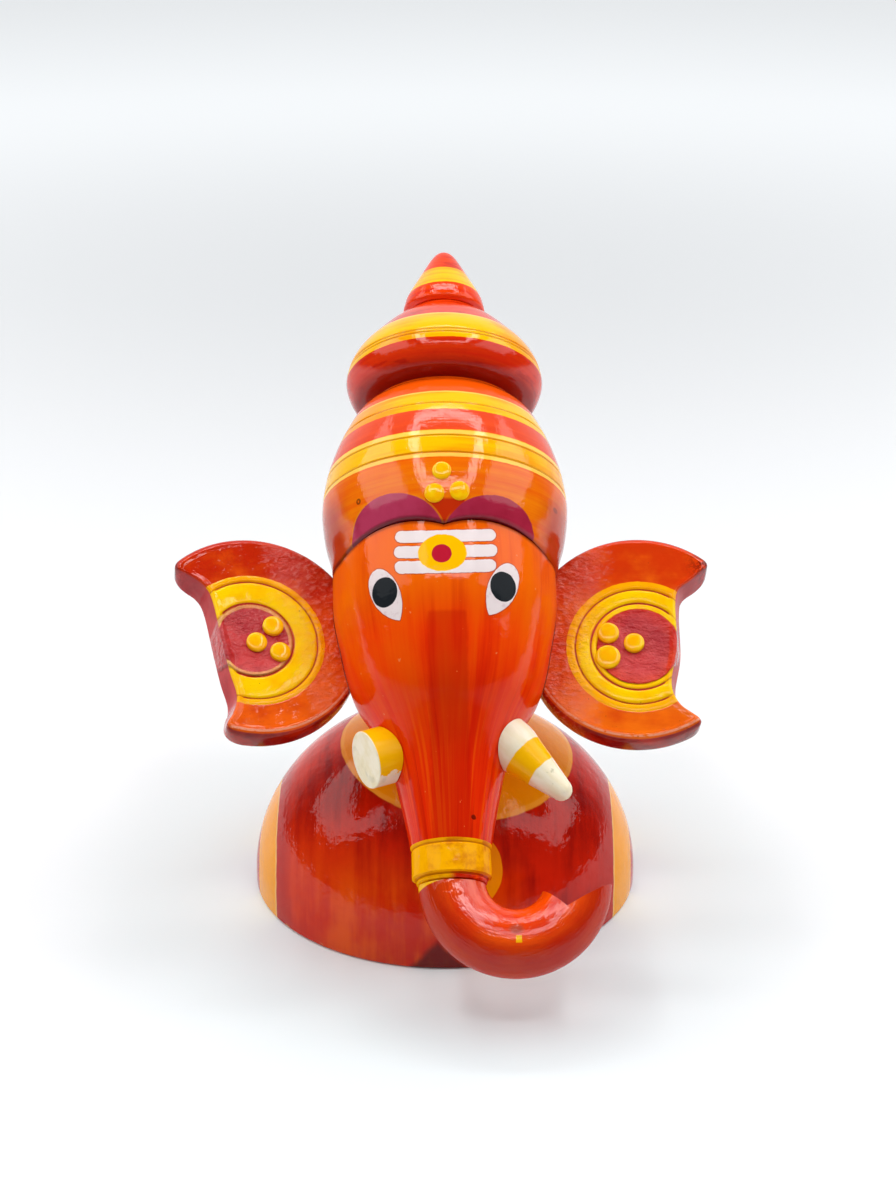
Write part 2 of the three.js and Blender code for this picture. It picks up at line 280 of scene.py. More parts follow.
# Each lamp's name, middle, width and depth in metres, and radiance, then the light of room and floor.
LAMPS = [
    ("lamp_front", 0.0125, -0.252, 0.335, 0.05, 9.2),
    ("lamp_back", 0.0125, 0.145, 0.335, 0.05, 9.2),
    ("lamp_left", -0.155, -0.0535, 0.05, 0.347, 9.2),
    ("lamp_right", 0.18, -0.0535, 0.05, 0.347, 9.2),
    ("lamp_side_left", -0.725, 0.025, 0.85, 0.65, 2.4),
    ("lamp_side_right", 0.725, 0.025, 0.85, 0.65, 2.4),
]
LAMP_HEIGHT = 0.46
ROOM_LIGHT, SWEEP_LIGHT = 0.07, 0.81
ROOM_TINT = (0.96, 0.98, 1, 1)
SWEEP_START, SWEEP_FULL = 0.3, 0.9
FLOOR_HALF_SIZE = 12
FLOOR_GLOW = 0.69
FLOOR_NEAR_GLOW = 0.09
FLOOR_GLOW_TINT = (0.95, 0.98, 1, 1)


def smooth(points, steps):
    """The uniform curve through the points that the solids use, with some steps for each span."""
    last = len(points) - 1
    out = []
    for k in range(last * steps + 1):
        whole, part = divmod(k, steps)
        t = part / steps
        near = [points[max(0, min(last, whole + shift))] for shift in (-1, 0, 1, 2)]
        place = []
        for a, b, c, d in zip(*near):
            start, end = (c - a) / 2, (d - b) / 2
            cube = (2 * b - 2 * c + start + end) * t ** 3
            square = (-3 * b + 3 * c - 2 * start - end) * t ** 2
            place.append(cube + square + start * t + b)
        out.append(tuple(place))
    return out


def smoothstep(low, high, value):
    t = max(0, min(1, (value - low) / (high - low)))
    return t * t * (3 - 2 * t)


def dip(offset, half_width):
    """The section of a turned groove: 1 in its middle, 0 past its edges."""
    if abs(offset) >= half_width:
        return 0
    return 0.5 + 0.5 * cos(pi * offset / half_width)


def axis_matrix(roll):
    turn = Matrix.Rotation(-HEAD_LEAN, 4, "X") @ Matrix.Rotation(roll, 4, "Y")
    return Matrix.Translation(HEAD_CENTRE) @ turn


def ear_matrix(ear):
    yaw, pitch = radians(ear["yaw"]), radians(ear["pitch"])
    flat = cos(pitch)
    normal = Vector((sin(yaw) * flat, -cos(yaw) * flat, sin(pitch)))
    across = UP.cross(normal).normalized()
    turn = Matrix((across, normal.cross(across), normal)).transposed().to_4x4()
    return Matrix.Translation(Vector(ear["centre"])) @ turn


def upright_along(direction):
    """A turn that stands Z along a direction."""
    return UP.rotation_difference(direction.normalized()).to_matrix().to_4x4()


def tusk_matrix(tusk):
    return Matrix.Translation(Vector(tusk["base"])) @ upright_along(Vector(tusk["direction"]))


HEAD_FRAME = axis_matrix(HEAD_ROLL)
CROWN_FRAME = axis_matrix(CROWN_ROLL)


def link_object(name, data):
    made = bpy.data.objects.new(name, data)
    bpy.context.scene.collection.objects.link(made)
    return made


def mesh_object(name, points, faces, matrix, sharp_angle=SHARP_ANGLE):
    """A piece from points in millimetres in its own frame, shaded smooth but for its edges."""
    mesh = bpy.data.meshes.new(name)
    mesh.from_pydata([tuple(matrix @ Vector(point) * MM) for point in points], [], faces)
    build = bmesh.new()
    build.from_mesh(mesh)
    bmesh.ops.remove_doubles(build, verts=build.verts, dist=1e-7)
    bmesh.ops.dissolve_degenerate(build, edges=build.edges, dist=1e-7)
    bmesh.ops.recalc_face_normals(build, faces=build.faces)
    build.to_mesh(mesh)
    build.free()
    mesh.shade_smooth()
    mesh.set_sharp_from_angle(angle=radians(sharp_angle))
    return link_object(name, mesh)


def strip(line, other):
    """The faces between two lines of points."""
    return [(a, b, d, c) for a, b, c, d in zip(line, line[1:], other, other[1:])]


def ring_faces(rings):
    """The faces of a skin over rings of equal length, and the numbers of each ring's points."""
    count = len(rings[0])
    loops = [[row * count + k % count for k in range(count + 1)] for row in range(len(rings))]
    return [face for low, high in zip(loops, loops[1:]) for face in strip(low, high)], loops


def closed_rings(rings):
    """Points and faces of a closed skin over rings of equal length, its ends filled with fans."""
    points = [point for ring in rings for point in ring]
    faces, loops = ring_faces(rings)
    for loop, ring in ((loops[0], rings[0]), (loops[-1], rings[-1])):
        points.append(tuple(sum(part) / len(ring) for part in zip(*ring)))
        faces += [(a, b, len(points) - 1) for a, b in zip(loop, loop[1:])]
    return points, faces


def ring_at(radius, height, sides):
    turns = [FULL_TURN * k / sides for k in range(sides)]
    return [(radius * sin(turn), -radius * cos(turn), height) for turn in turns]


def turned(name, profile, sides, matrix):
    rings = [ring_at(radius, height, sides) for radius, height in profile]
    return mesh_object(name, *closed_rings(rings), matrix)


def part_way(a, b, t):
    return tuple(p + (q - p) * t for p, q in zip(a, b))


def bent(start, bend, end, t):
    """A point on the curve from start to end that bends toward a third point."""
    return tuple(start * (1 - t) ** 2 + bend * 2 * t * (1 - t) + end * t * t)


def rounded_corner(before, corner, after, radius, steps=5):
    """A corner of a profile, cut back by a length and rounded."""
    before, corner, after = Vector(before), Vector(corner), Vector(after)
    start = corner + (before - corner).normalized() * radius
    end = corner + (after - corner).normalized() * radius
    return [bent(start, corner, end, k / steps) for k in range(steps + 1)]


def with_grooves(profile, grooves):
    """A profile with grooves sunk in it at the given heights, with enough steps to show them."""
    heights = {round(height, 3) for _, height in profile}
    for groove in grooves:
        heights |= {round(groove + GROOVE_HALF * k / 5, 3) for k in range(-6, 7)}
    out = []
    for height in sorted(heights):
        sunk = sum(GROOVE_DEPTH * dip(height - groove, GROOVE_HALF) for groove in grooves)
        out.append((radius_at(profile, height) - sunk, height))
    return out


def radius_at(profile, height):
    """The radius of a profile, whose heights rise, at a height."""
    if height <= profile[0][1]:
        return profile[0][0]
    for (r0, h0), (r1, h1) in zip(profile, profile[1:]):
        if height <= h1:
            return r0 if h1 == h0 else r0 + (r1 - r0) * (height - h0) / (h1 - h0)
    return profile[-1][0]


HEAD_PROFILE = smooth(HEAD_STATIONS, 10)


def joint_height(x, y):
    """The height of the joint between head and crown."""
    across = abs(x) - LOBE_SPREAD
    lobe = LOBE_HEIGHT + sqrt(max(0, LOBE_RADIUS ** 2 - across ** 2))
    front = smoothstep(-LOBE_BACK[0], -LOBE_BACK[1], -y)
    return HEAD_TOP + front * max(0, lobe - HEAD_TOP)


def rings_between(unit, lows, highs, rows, radius_of):
    """Rings that pass in equal steps from one line of heights to another."""
    rings = []
    for row in range(rows + 1):
        ring = []
        for (x, y, _), low, high in zip(unit, lows, highs):
            height = low + (high - low) * row / rows
            radius = radius_of(height, low)
            ring.append((x * radius, y * radius, height))
        rings.append(ring)
    return rings


def head_rings(sides, grow=0, rows=10, cap_rows=12):
    """Rings of the head and trunk, from the trunk's end up."""
    band = [(BAND_RADIUS, BAND_BOTTOM + 0.5), (BAND_RADIUS, BAND_TOP)]
    low = [(TRUNK_END_RADIUS, TRUNK_END + 0.3), (TRUNK_END_RADIUS + 0.1, BAND_BOTTOM)] + band
    low += [(TRUNK_TOP_RADIUS, BAND_TOP + 0.7)]
    profile = with_grooves(low + HEAD_PROFILE, [BAND_BOTTOM, BAND_TOP])
    below = [(r + grow, h) for r, h in profile if h < LEVEL_HEAD]
    end_round = rounded_corner((0, TRUNK_END), (TRUNK_END_RADIUS, TRUNK_END), below[0], 0.5)
    rings = [ring_at(r, h, sides) for r, h in end_round + below[1:]]
    unit = ring_at(1, 0, sides)
    top_radius = radius_at(HEAD_PROFILE, HEAD_TOP)
    tops = [joint_height(x * top_radius, y * top_radius) for x, y, _ in unit]

    def radius_of(height, _):
        return radius_at(HEAD_PROFILE, height) + grow

    rings += rings_between(unit, [LEVEL_HEAD] * sides, tops, rows, radius_of)
    rim = rings[-1]
    for row in range(1, cap_rows):
        share = 1 - row / cap_rows
        rings.append([(x * share, y * share, joint_height(x * share, y * share)) for x, y, _ in rim])
    return rings


def build_head():
    return mesh_object("painted_head", *closed_rings(head_rings(HEAD_SIDES)), HEAD_FRAME)


def crown_profile():
    lower = with_grooves(smooth(LOWER_TIER, 12), LOWER_GROOVES)
    upper = with_grooves(smooth(UPPER_TIER, 12), UPPER_GROOVES)
    return lower, upper, smooth(FINIAL, 10)


def build_crown():
    """The crown's skin, its lower edge fitted to the head all round."""
    lower, upper, finial = crown_profile()
    to_head = HEAD_FRAME.inverted() @ CROWN_FRAME

    def seat_height(x, y):
        height = HEAD_TOP
        for _ in range(6):
            in_head = to_head @ Vector((x, y, height))
            height += joint_height(in_head.x, in_head.y) + JOINT_GAP - in_head.z
        return height

    rows, cap_rows = 12, 14
    unit = ring_at(1, 0, CROWN_SIDES)
    low_radius = radius_at(lower, HEAD_TOP)
    rim = [seat_height(x * low_radius, y * low_radius) for x, y, _ in unit]
    rings = []
    for row in range(1, cap_rows):
        share = row / cap_rows
        ring = []
        for (x, y, _), height in zip(unit, rim):
            radius = radius_at(lower, height) * share
            ring.append((x * radius, y * radius, seat_height(x * radius, y * radius)))
        rings.append(ring)

    def radius_of(height, low):
        return radius_at(lower, height) - 0.5 * max(0, 1 - (height - low) / 0.8) ** 2

    rings += rings_between(unit, rim, [LEVEL_CROWN] * CROWN_SIDES, rows, radius_of)
    above = [station for station in lower if station[1] > LEVEL_CROWN]
    rings += [ring_at(radius, height, CROWN_SIDES) for radius, height in above + upper + finial[:-1]]
    return mesh_object("painted_crown", *closed_rings(rings), CROWN_FRAME)


def build_dome():
    """The body, with a shallow seat where the head rests on it."""
    lowest = -asin(DOME_AXIS / DOME_RADIUS)
    to_head = HEAD_FRAME.inverted()
    rings = []
    for row in range(DOME_ROWS + 1):
        slope = lowest + (QUARTER_TURN - lowest) * row / (DOME_ROWS + 0.5)
        spread, height = cos(slope), DOME_AXIS + DOME_RADIUS * sin(slope)
        edge = DOME_EDGE * max(0, 1 - height / DOME_EDGE) ** 2
        ring = []
        for k in range(DOME_SIDES):
            turn = FULL_TURN * k / DOME_SIDES
            point = Vector((
                (DOME_HALF * spread - edge) * sin(turn),
                -(DOME_RADIUS * spread - edge) * cos(turn),
                max(0, height),
            ))
            ring.append(tuple(seated(point, to_head)))
        rings.append(ring)
    return mesh_object("lacquered_dome", *closed_rings(rings), Matrix.Identity(4))


def seated(point, to_head):
    """A point of the dome, pushed clear of the head if it lies inside it."""
    local = to_head @ point
    reach = hypot(local.x, local.y)
    wanted = radius_at(HEAD_PROFILE, local.z) + JOINT_GAP
    if local.z < BAND_TOP or reach >= wanted or reach < 1:
        return point
    scale = wanted / reach
    return HEAD_FRAME @ Vector((local.x * scale, local.y * scale, local.z))


def curl_end_angle(reach):
    """The angle at which a line of the tube, at its reach from the ring's middle, is cut off."""
    notch = Vector(CURL_NOTCH)
    inner = (Vector(CURL_INNER_CUT) - notch).normalized()
    lip = (Vector(CURL_LIP_CUT) - notch).normalized()
    low, high = CURL_END_RANGE
    for _ in range(40):
        middle = (low + high) / 2
        x, y = reach * cos(middle) - notch[0], reach * sin(middle) - notch[1]
        in_wedge = x * lip[1] - y * lip[0] < 0 and x * inner[1] - y * inner[0] > 0
        low, high = (low, middle) if in_wedge else (middle, high)
    return low


def build_curl():
    """The curl's tube, its two sawn ends found along every line of the tube."""
    steps, half, across = CURL_STEPS, 2 * CURL_QUARTER, CURL_END_STEPS
    sawn = CURL_SAWN_HEIGHT - CURL_HEIGHT
    points, faces, lines = [], [], []
    for k in range(2 * half):
        turn = pi * k / half
        reach = CURL_RING + CURL_TUBE * cos(turn)
        depth = CURL_TUBE * sin(turn)
        start = pi - asin(sawn / reach)
        end = curl_end_angle(reach)
        lines.append(range(len(points), len(points) + steps + 1))
        for step in range(steps + 1):
            angle = start + (end - start) * step / steps
            along, down = reach * cos(angle), reach * sin(angle)
            points.append((CURL_RING + along, depth, CURL_HEIGHT + down))
    for line, other in zip(lines, lines[1:] + lines[:1]):
        faces += strip(line, other)
    for end in (0, steps):
        rows = []
        for k in range(1, half):
            near, far = lines[k][end], lines[2 * half - k][end]
            rows.append([near, *range(len(points), len(points) + across - 1), far])
            for j in range(1, across):
                points.append(part_way(points[near], points[far], j / across))
        for row, other in zip(rows, rows[1:]):
            faces += strip(row, other)
        for tip, row in ((lines[0][end], rows[0]), (lines[half][end], rows[-1])):
            faces += [(tip, a, b) for a, b in zip(row, row[1:])]
    piece = mesh_object("lacquered_curl", points, faces, HEAD_FRAME, sharp_angle=30)
    soften_edges(piece, CURL_EDGE_ROUND)
    return piece


def soften_edges(piece, width):
    """Rounds the sharp edges of a piece."""
    bevel = piece.modifiers.new("round", "BEVEL")
    bevel.limit_method = "ANGLE"
    bevel.angle_limit = radians(30)
    bevel.width = width * MM
    bevel.segments = 3
    bevel.use_clamp_overlap = True
    apply_modifiers(piece)


def apply_modifiers(piece):
    seen = piece.evaluated_get(bpy.context.evaluated_depsgraph_get())
    done = bpy.data.meshes.new_from_object(seen)
    piece.modifiers.clear()
    old = piece.data
    piece.data = done
    bpy.data.meshes.remove(old)


def cut(piece, cutters):
    """Cuts the piece back where it would enter its neighbours."""
    for cutter in cutters:
        saw = piece.modifiers.new("cut", "BOOLEAN")
        saw.operation = "DIFFERENCE"
        saw.solver = "EXACT"
        saw.object = cutter
        apply_modifiers(piece)
    piece.data.set_sharp_from_angle(angle=radians(SHARP_ANGLE))


def ear_levels():
    """Depths below the face, and how far the rim and the bite's edge are rounded back there."""
    levels = []
    for k in range(7):
        angle = QUARTER_TURN * k / 6
        depth = RIM_ROUND * (1 - cos(angle))
        rim = RIM_ROUND * (1 - sin(angle))
        left = BITE_ROUND - min(depth, BITE_ROUND)
        bite = BITE_ROUND - sqrt(max(0, BITE_ROUND ** 2 - left ** 2))
        levels.append((depth, rim, bite))
    back = [(EAR_THICKNESS - depth, rim, bite) for depth, rim, bite in reversed(levels)]
    return levels + [(EAR_THICKNESS / 2, 0, 0)] + back


def spaced(path, count):
    """A path's points, at equal steps along it."""
    lengths = [0]
    for a, b in zip(path, path[1:]):
        lengths.append(lengths[-1] + dist(a, b))
    out = []
    index = 0
    for k in range(count + 1):
        wanted = lengths[-1] * k / count
        while index < len(path) - 2 and lengths[index + 1] < wanted:
            index += 1
        span = lengths[index + 1] - lengths[index]
        t = 0 if span == 0 else (wanted - lengths[index]) / span
        out.append(part_way(path[index], path[index + 1], t))
    return out


def ear_outline(ear, depth, rim_back, bite_back, count):
    """The ear's outline at a depth: the bite's line and the rim's arc, both from the top."""
    outward = ear["outward"]
    shift = BITE_BEVEL * depth / EAR_THICKNESS - bite_back
    bite = [(outward * (out + shift), up) for out, up in smooth(ear["bite"], 24)]
    cx, cy = ear["offset"]
    radius = ear["radius"] - rim_back
    inside = [k for k, (x, y) in enumerate(bite) if hypot(x - cx, y - cy) < radius]

    def crossing(outer, inner):
        for _ in range(30):
            middle = tuple((a + b) / 2 for a, b in zip(outer, inner))
            if hypot(middle[0] - cx, middle[1] - cy) < radius:
                inner = middle
            else:
                outer = middle
        return inner

    first, last = inside[0], inside[-1]
    top = crossing(bite[first - 1], bite[first])
    bottom = crossing(bite[last + 1], bite[last])
    line = [top] + bite[first:last + 1] + [bottom]
    start = atan2(-outward * (top[0] - cx), top[1] - cy)
    end = atan2(-outward * (bottom[0] - cx), bottom[1] - cy)
    end += FULL_TURN if end < start else 0
    arc = []
    for k in range(2 * count + 1):
        angle = start + (end - start) * k / (2 * count)
        arc.append((cx - outward * radius * sin(angle), cy + radius * cos(angle)))
    reach = ear["tip_round"] * (1 + 1.6 * depth / EAR_THICKNESS)
    line, arc = round_tip(line, arc, reach)
    line, arc = round_tip(line[::-1], arc[::-1], reach)
    return spaced(line[::-1], count), spaced(arc[::-1], count)


def walk(path, distance):
    """The point at a distance along a path, and the path from there on."""
    for k, (a, b) in enumerate(zip(path, path[1:])):
        step = dist(a, b)
        if distance <= step:
            point = tuple(p + (q - p) * distance / step for p, q in zip(a, b))
            return point, [point] + path[k + 1:]
        distance -= step
    return path[-1], path[-1:]


def round_tip(line, arc, reach):
    """Rounds the tip where two paths start, so that both start from the rounding's middle."""
    tip = Vector(line[0])
    on_line, line = walk(line, reach)
    on_arc, arc = walk(arc, reach)
    middle = Vector(on_line) / 4 + tip / 2 + Vector(on_arc) / 4
    rounded = []
    for start in (on_line, on_arc):
        start = Vector(start)
        rounded.append([bent(middle, (start + tip) / 2, start, k / 8) for k in range(8)])
    return rounded[0] + line, rounded[1] + arc


def ear_relief(ear, x, y):
    """How high the ear's face stands: a shallow dish with turned beads and grooves."""
    reach = hypot(x, y)
    inner, outer = ear["yellow"]
    wide, thin = ear["grooves"]
    height = -EAR_DISH * (1 - min(1, (reach / ear["radius"]) ** 2))
    height -= CENTRE_DISH * max(0, 1 - hypot(reach, 1.2) / inner)
    for low, high, rise in ((thin, wide, 0.28), (wide, outer, 0.16), (inner, thin, 0.12)):
        if low < reach < high:
            height += rise * sin(pi * (reach - low) / (high - low)) ** 0.7
    for groove in ear["grooves"]:
        height -= 0.3 * dip(reach - groove, 0.45)
    return height + 0.05 * noise.noise(Vector((x, y, ear["radius"])) * 0.35)


def build_ear(name, ear):
    """A closed skin over cross-sections from bite to rim, from tip to tip."""
    count = EAR_STEPS
    levels = ear_levels()
    outlines = [ear_outline(ear, depth, rim, bite, count) for depth, rim, bite in levels]
    rings = []
    for u in range(count + 1):
        ring = []
        near, far = outlines[0][0][u], outlines[0][1][u]
        for row in range(EAR_FRONT_ROWS + 1):
            t = row / EAR_FRONT_ROWS
            x, y = part_way(near, far, t)
            from_edge = min(t, 1 - t) * dist(near, far)
            ring.append((x, y, ear_relief(ear, x, y) * min(1, from_edge)))
        for (depth, _, _), (_, arc) in zip(levels[1:], outlines[1:]):
            ring.append((*arc[u], -depth))
        near, far = outlines[-1][0][u], outlines[-1][1][u]
        for row in range(EAR_BACK_ROWS - 1, -1, -1):
            ring.append((*part_way(near, far, row / EAR_BACK_ROWS), -EAR_THICKNESS))
        for (depth, _, _), (line, _) in reversed(list(zip(levels[1:-1], outlines[1:-1]))):
            ring.append((*line[u], -depth))
        rings.append(ring)
    points = [point for ring in rings for point in ring]
    return mesh_object(name, points, ring_faces(rings)[0], ear_matrix(ear), sharp_angle=50)


def build_whole_tusk():
    """A cone with a rounded tip, on a straight root that ends inside the head."""
    base, tip = WHOLE_RADII
    length, straight = WHOLE_TUSK["length"], WHOLE_STRAIGHT
    slope = atan2(base - tip, length - straight)
    narrowing = base - tip * cos(slope)
    cone = length - tip * (1 - sin(slope)) - straight
    profile = [(base, -TUSK_ROOT + 1.2 * k) for k in range(7)]
    profile += [(base - narrowing * k / 24, straight + cone * k / 24) for k in range(1, 24)]
    for k in range(10):
        angle = slope + (QUARTER_TURN - slope) * k / 10
        profile.append((tip * cos(angle), length - tip + tip * sin(angle)))
    return turned("painted_tusk", profile, TUSK_SIDES, tusk_matrix(WHOLE_TUSK))


def build_broken_tusk():
    radius, length = BROKEN_RADIUS, BROKEN_TUSK["length"]
    side = [(radius, -TUSK_ROOT + (TUSK_ROOT + length - 0.6) * k / 12) for k in range(13)]
    corner = rounded_corner((radius, 0), (radius, length), (0, length), 0.35)
    face = [(radius * (1 - k / 12) - 0.2, length) for k in range(1, 12)]
    return turned("sawn_tusk", side + corner + face, TUSK_SIDES, tusk_matrix(BROKEN_TUSK))


class Field:
    """A number that nodes work out at each place, in sums that read as plain sums."""

    def __init__(self, nodes, socket):
        self.nodes, self.socket = nodes, socket

    def by_math(operation):
        """A method that does one operation of the Math node."""
        return lambda self, *others: self.nodes.math(operation, self, *others)

    __add__, __sub__ = by_math("ADD"), by_math("SUBTRACT")
    __mul__, __truediv__ = by_math("MULTIPLY"), by_math("DIVIDE")
    __abs__, root = by_math("ABSOLUTE"), by_math("SQRT")
    at_least, at_most = by_math("MAXIMUM"), by_math("MINIMUM")
    smoothly_at_least = by_math("SMOOTH_MAX")
    angle_from = by_math("ARCTAN2")

    def __rsub__(self, other):
        return self.nodes.math("SUBTRACT", other, self)

    def __neg__(self):
        return self * -1

    def centred(self, spread):
        """A noise from 0 to 1, moved to lie about 0 and spread."""
        return (self - 0.5) * spread

    def rise(self, low, high):
        """0 at low and 1 at high, with a smooth step between. Low may be the greater of the two."""
        node = self.nodes.node("ShaderNodeMapRange", self, low, high, 0, 1)
        node.interpolation_type = "SMOOTHSTEP"
        return Field(self.nodes, node.outputs[0])

    def inside(self, soft=SOFT_EDGE):
        """1 where a distance from an outline is negative."""
        return self.rise(soft / 2, -soft / 2)

    def between(self, low, high, soft=SOFT_EDGE):
        """1 where the value lies between two numbers."""
        return (abs(self - (low + high) / 2) - (high - low) / 2).inside(soft)


def length(x, y):
    return (x * x + y * y).root()


class Nodes:
    """The nodes of a material or a world, which starts empty."""

    def __init__(self, owner):
        owner.use_nodes = True
        self.tree = owner.node_tree
        self.tree.nodes.clear()

    def feed(self, socket, value):
        if isinstance(value, Field):
            self.tree.links.new(value.socket, socket)
        else:
            socket.default_value = value

    def node(self, kind, *values, **named):
        """Adds a node and feeds its inputs, in order or by name."""
        node = self.tree.nodes.new(kind)
        for socket, value in [*zip(node.inputs, values), *((node.inputs[k], named[k]) for k in named)]:
            self.feed(socket, value)
        return node

    def field(self, kind, *values, **named):
        return Field(self, self.node(kind, *values, **named).outputs[0])

    def math(self, operation, *values):
        node = self.node("ShaderNodeMath", *values)
        node.operation = operation
        return Field(self, node.outputs[0])


class Paint(Nodes):
    """The nodes of one material, in a piece's own frame, with the colours laid on so far."""

    def __init__(self, name, matrix):
        self.material = bpy.data.materials.new(name)
        super().__init__(self.material)
        coords = Field(self, self.node("ShaderNodeTexCoord").outputs["Object"])
        mapping = self.node(
            "ShaderNodeMapping", Vector=coords, Location=matrix.translation * MM,
            Rotation=matrix.to_euler("XYZ"), Scale=(MM, MM, MM),
        )
        mapping.vector_type = "TEXTURE"
        self.place = Field(self, mapping.outputs[0])
        split = self.node("ShaderNodeSeparateXYZ", self.place)
        self.x, self.y, self.z = [Field(self, socket) for socket in split.outputs]

    def join(self, x, y, z):
        return self.field("ShaderNodeCombineXYZ", x, y, z)

    def angle(self):
        """The angle round the axis, from the front, growing to the viewer's right."""
        return self.x.angle_from(-self.y)

    def joint_gap(self):
        """How far the place lies above the joint of head and crown."""
        across = abs(self.x) - LOBE_SPREAD
        lobe = (LOBE_RADIUS ** 2 - across * across).at_least(0).root() + LOBE_HEIGHT
        return self.z - HEAD_TOP - self.y.rise(*LOBE_BACK) * (lobe - HEAD_TOP).at_least(0)

    def noise(self, over, detail=3, roughness=0.5, seed=0):
        """A noise from 0 to 1, over a vector or by its waves in a millimetre, for each axis or for all."""
        scale = 1
        if isinstance(over, tuple):
            over = self.join(self.x * over[0] + seed, self.y * over[1], self.z * over[2])
        elif not isinstance(over, Field):
            over, scale = self.place, over
        return self.field("ShaderNodeTexNoise", Vector=over, Scale=scale, Detail=detail, Roughness=roughness)

    def around(self, turns, along, seed=0):
        """A vector for streaks that run along the axis and differ round it."""
        reach = length(self.x, self.y).at_least(0.01)
        return self.join(self.x / reach * turns + seed, self.y / reach * turns, self.z * along)

    def mix(self, share, base, over):
        node = self.tree.nodes.new("ShaderNodeMix")
        node.data_type = "RGBA"
        for socket, value in ((0, share), (6, shader_colour(base)), (7, shader_colour(over))):
            self.feed(node.inputs[socket], value)
        return Field(self, node.outputs[2])

    def lay(self, colour, share=None):
        """Lays a colour over all that is there, or over a share of it."""
        self.laid = colour if share is None else self.mix(share, self.laid, colour)

    def groove(self, away, half_width, soft, share=0.6):
        """A dark line in a groove, from the distance to the groove's middle."""
        self.lay(GROOVE, (abs(away) - half_width).inside(soft) * share)

    def finish(self, height, coat=0.8, coat_roughness=0.06, coat_ior=LACQUER_IOR, roughness=0.5):
        """Coats the colours with lacquer, with a bump from a height in millimetres."""
        normal = self.field("ShaderNodeBump", Distance=MM, Height=height)
        self.shader = self.node("ShaderNodeBsdfPrincipled", **{
            "Base Color": shader_colour(self.laid),
            "Specular IOR Level": 0,
            "Roughness": roughness,
            "Coat Weight": coat,
            "Coat IOR": coat_ior,
            "Coat Roughness": coat_roughness,
            "Normal": normal,
            "Coat Normal": normal,
        })
        self.node("ShaderNodeOutputMaterial", Field(self, self.shader.outputs[0]))
        return self.material


def shader_colour(colour):
    """A field as it is, and a screen colour as the linear light that the shader takes."""
    def channel(value):
        value /= 255
        return value / 12.92 if value <= 0.04045 else ((value + 0.055) / 1.055) ** 2.4
    return colour if isinstance(colour, Field) else (*[channel(value) for value in colour], 1)


def new_paint(name, matrix=Matrix.Identity(4)):
    """The paint of a new material, and the three things that are done most with it."""
    paint = Paint(name, matrix)
    return paint, paint.lay, paint.mix, paint.noise


def eye_distances(du, dv, lean):
    """Distances from the outlines of an almond eye and of its pupil."""
    across = du * cos(lean) + dv * -sin(lean)
    along = du * sin(lean) + dv * cos(lean)
    shift = EYE_CURVE - EYE_HALF
    left, right = [length(across - side * shift, along + 0.1) - EYE_CURVE for side in (-1, 1)]
    almond = left.smoothly_at_least(right, 0.4).smoothly_at_least(along - 5.7, 2.2)
    return almond, length(across * 0.94, along * 0.93) - PUPIL_RADIUS


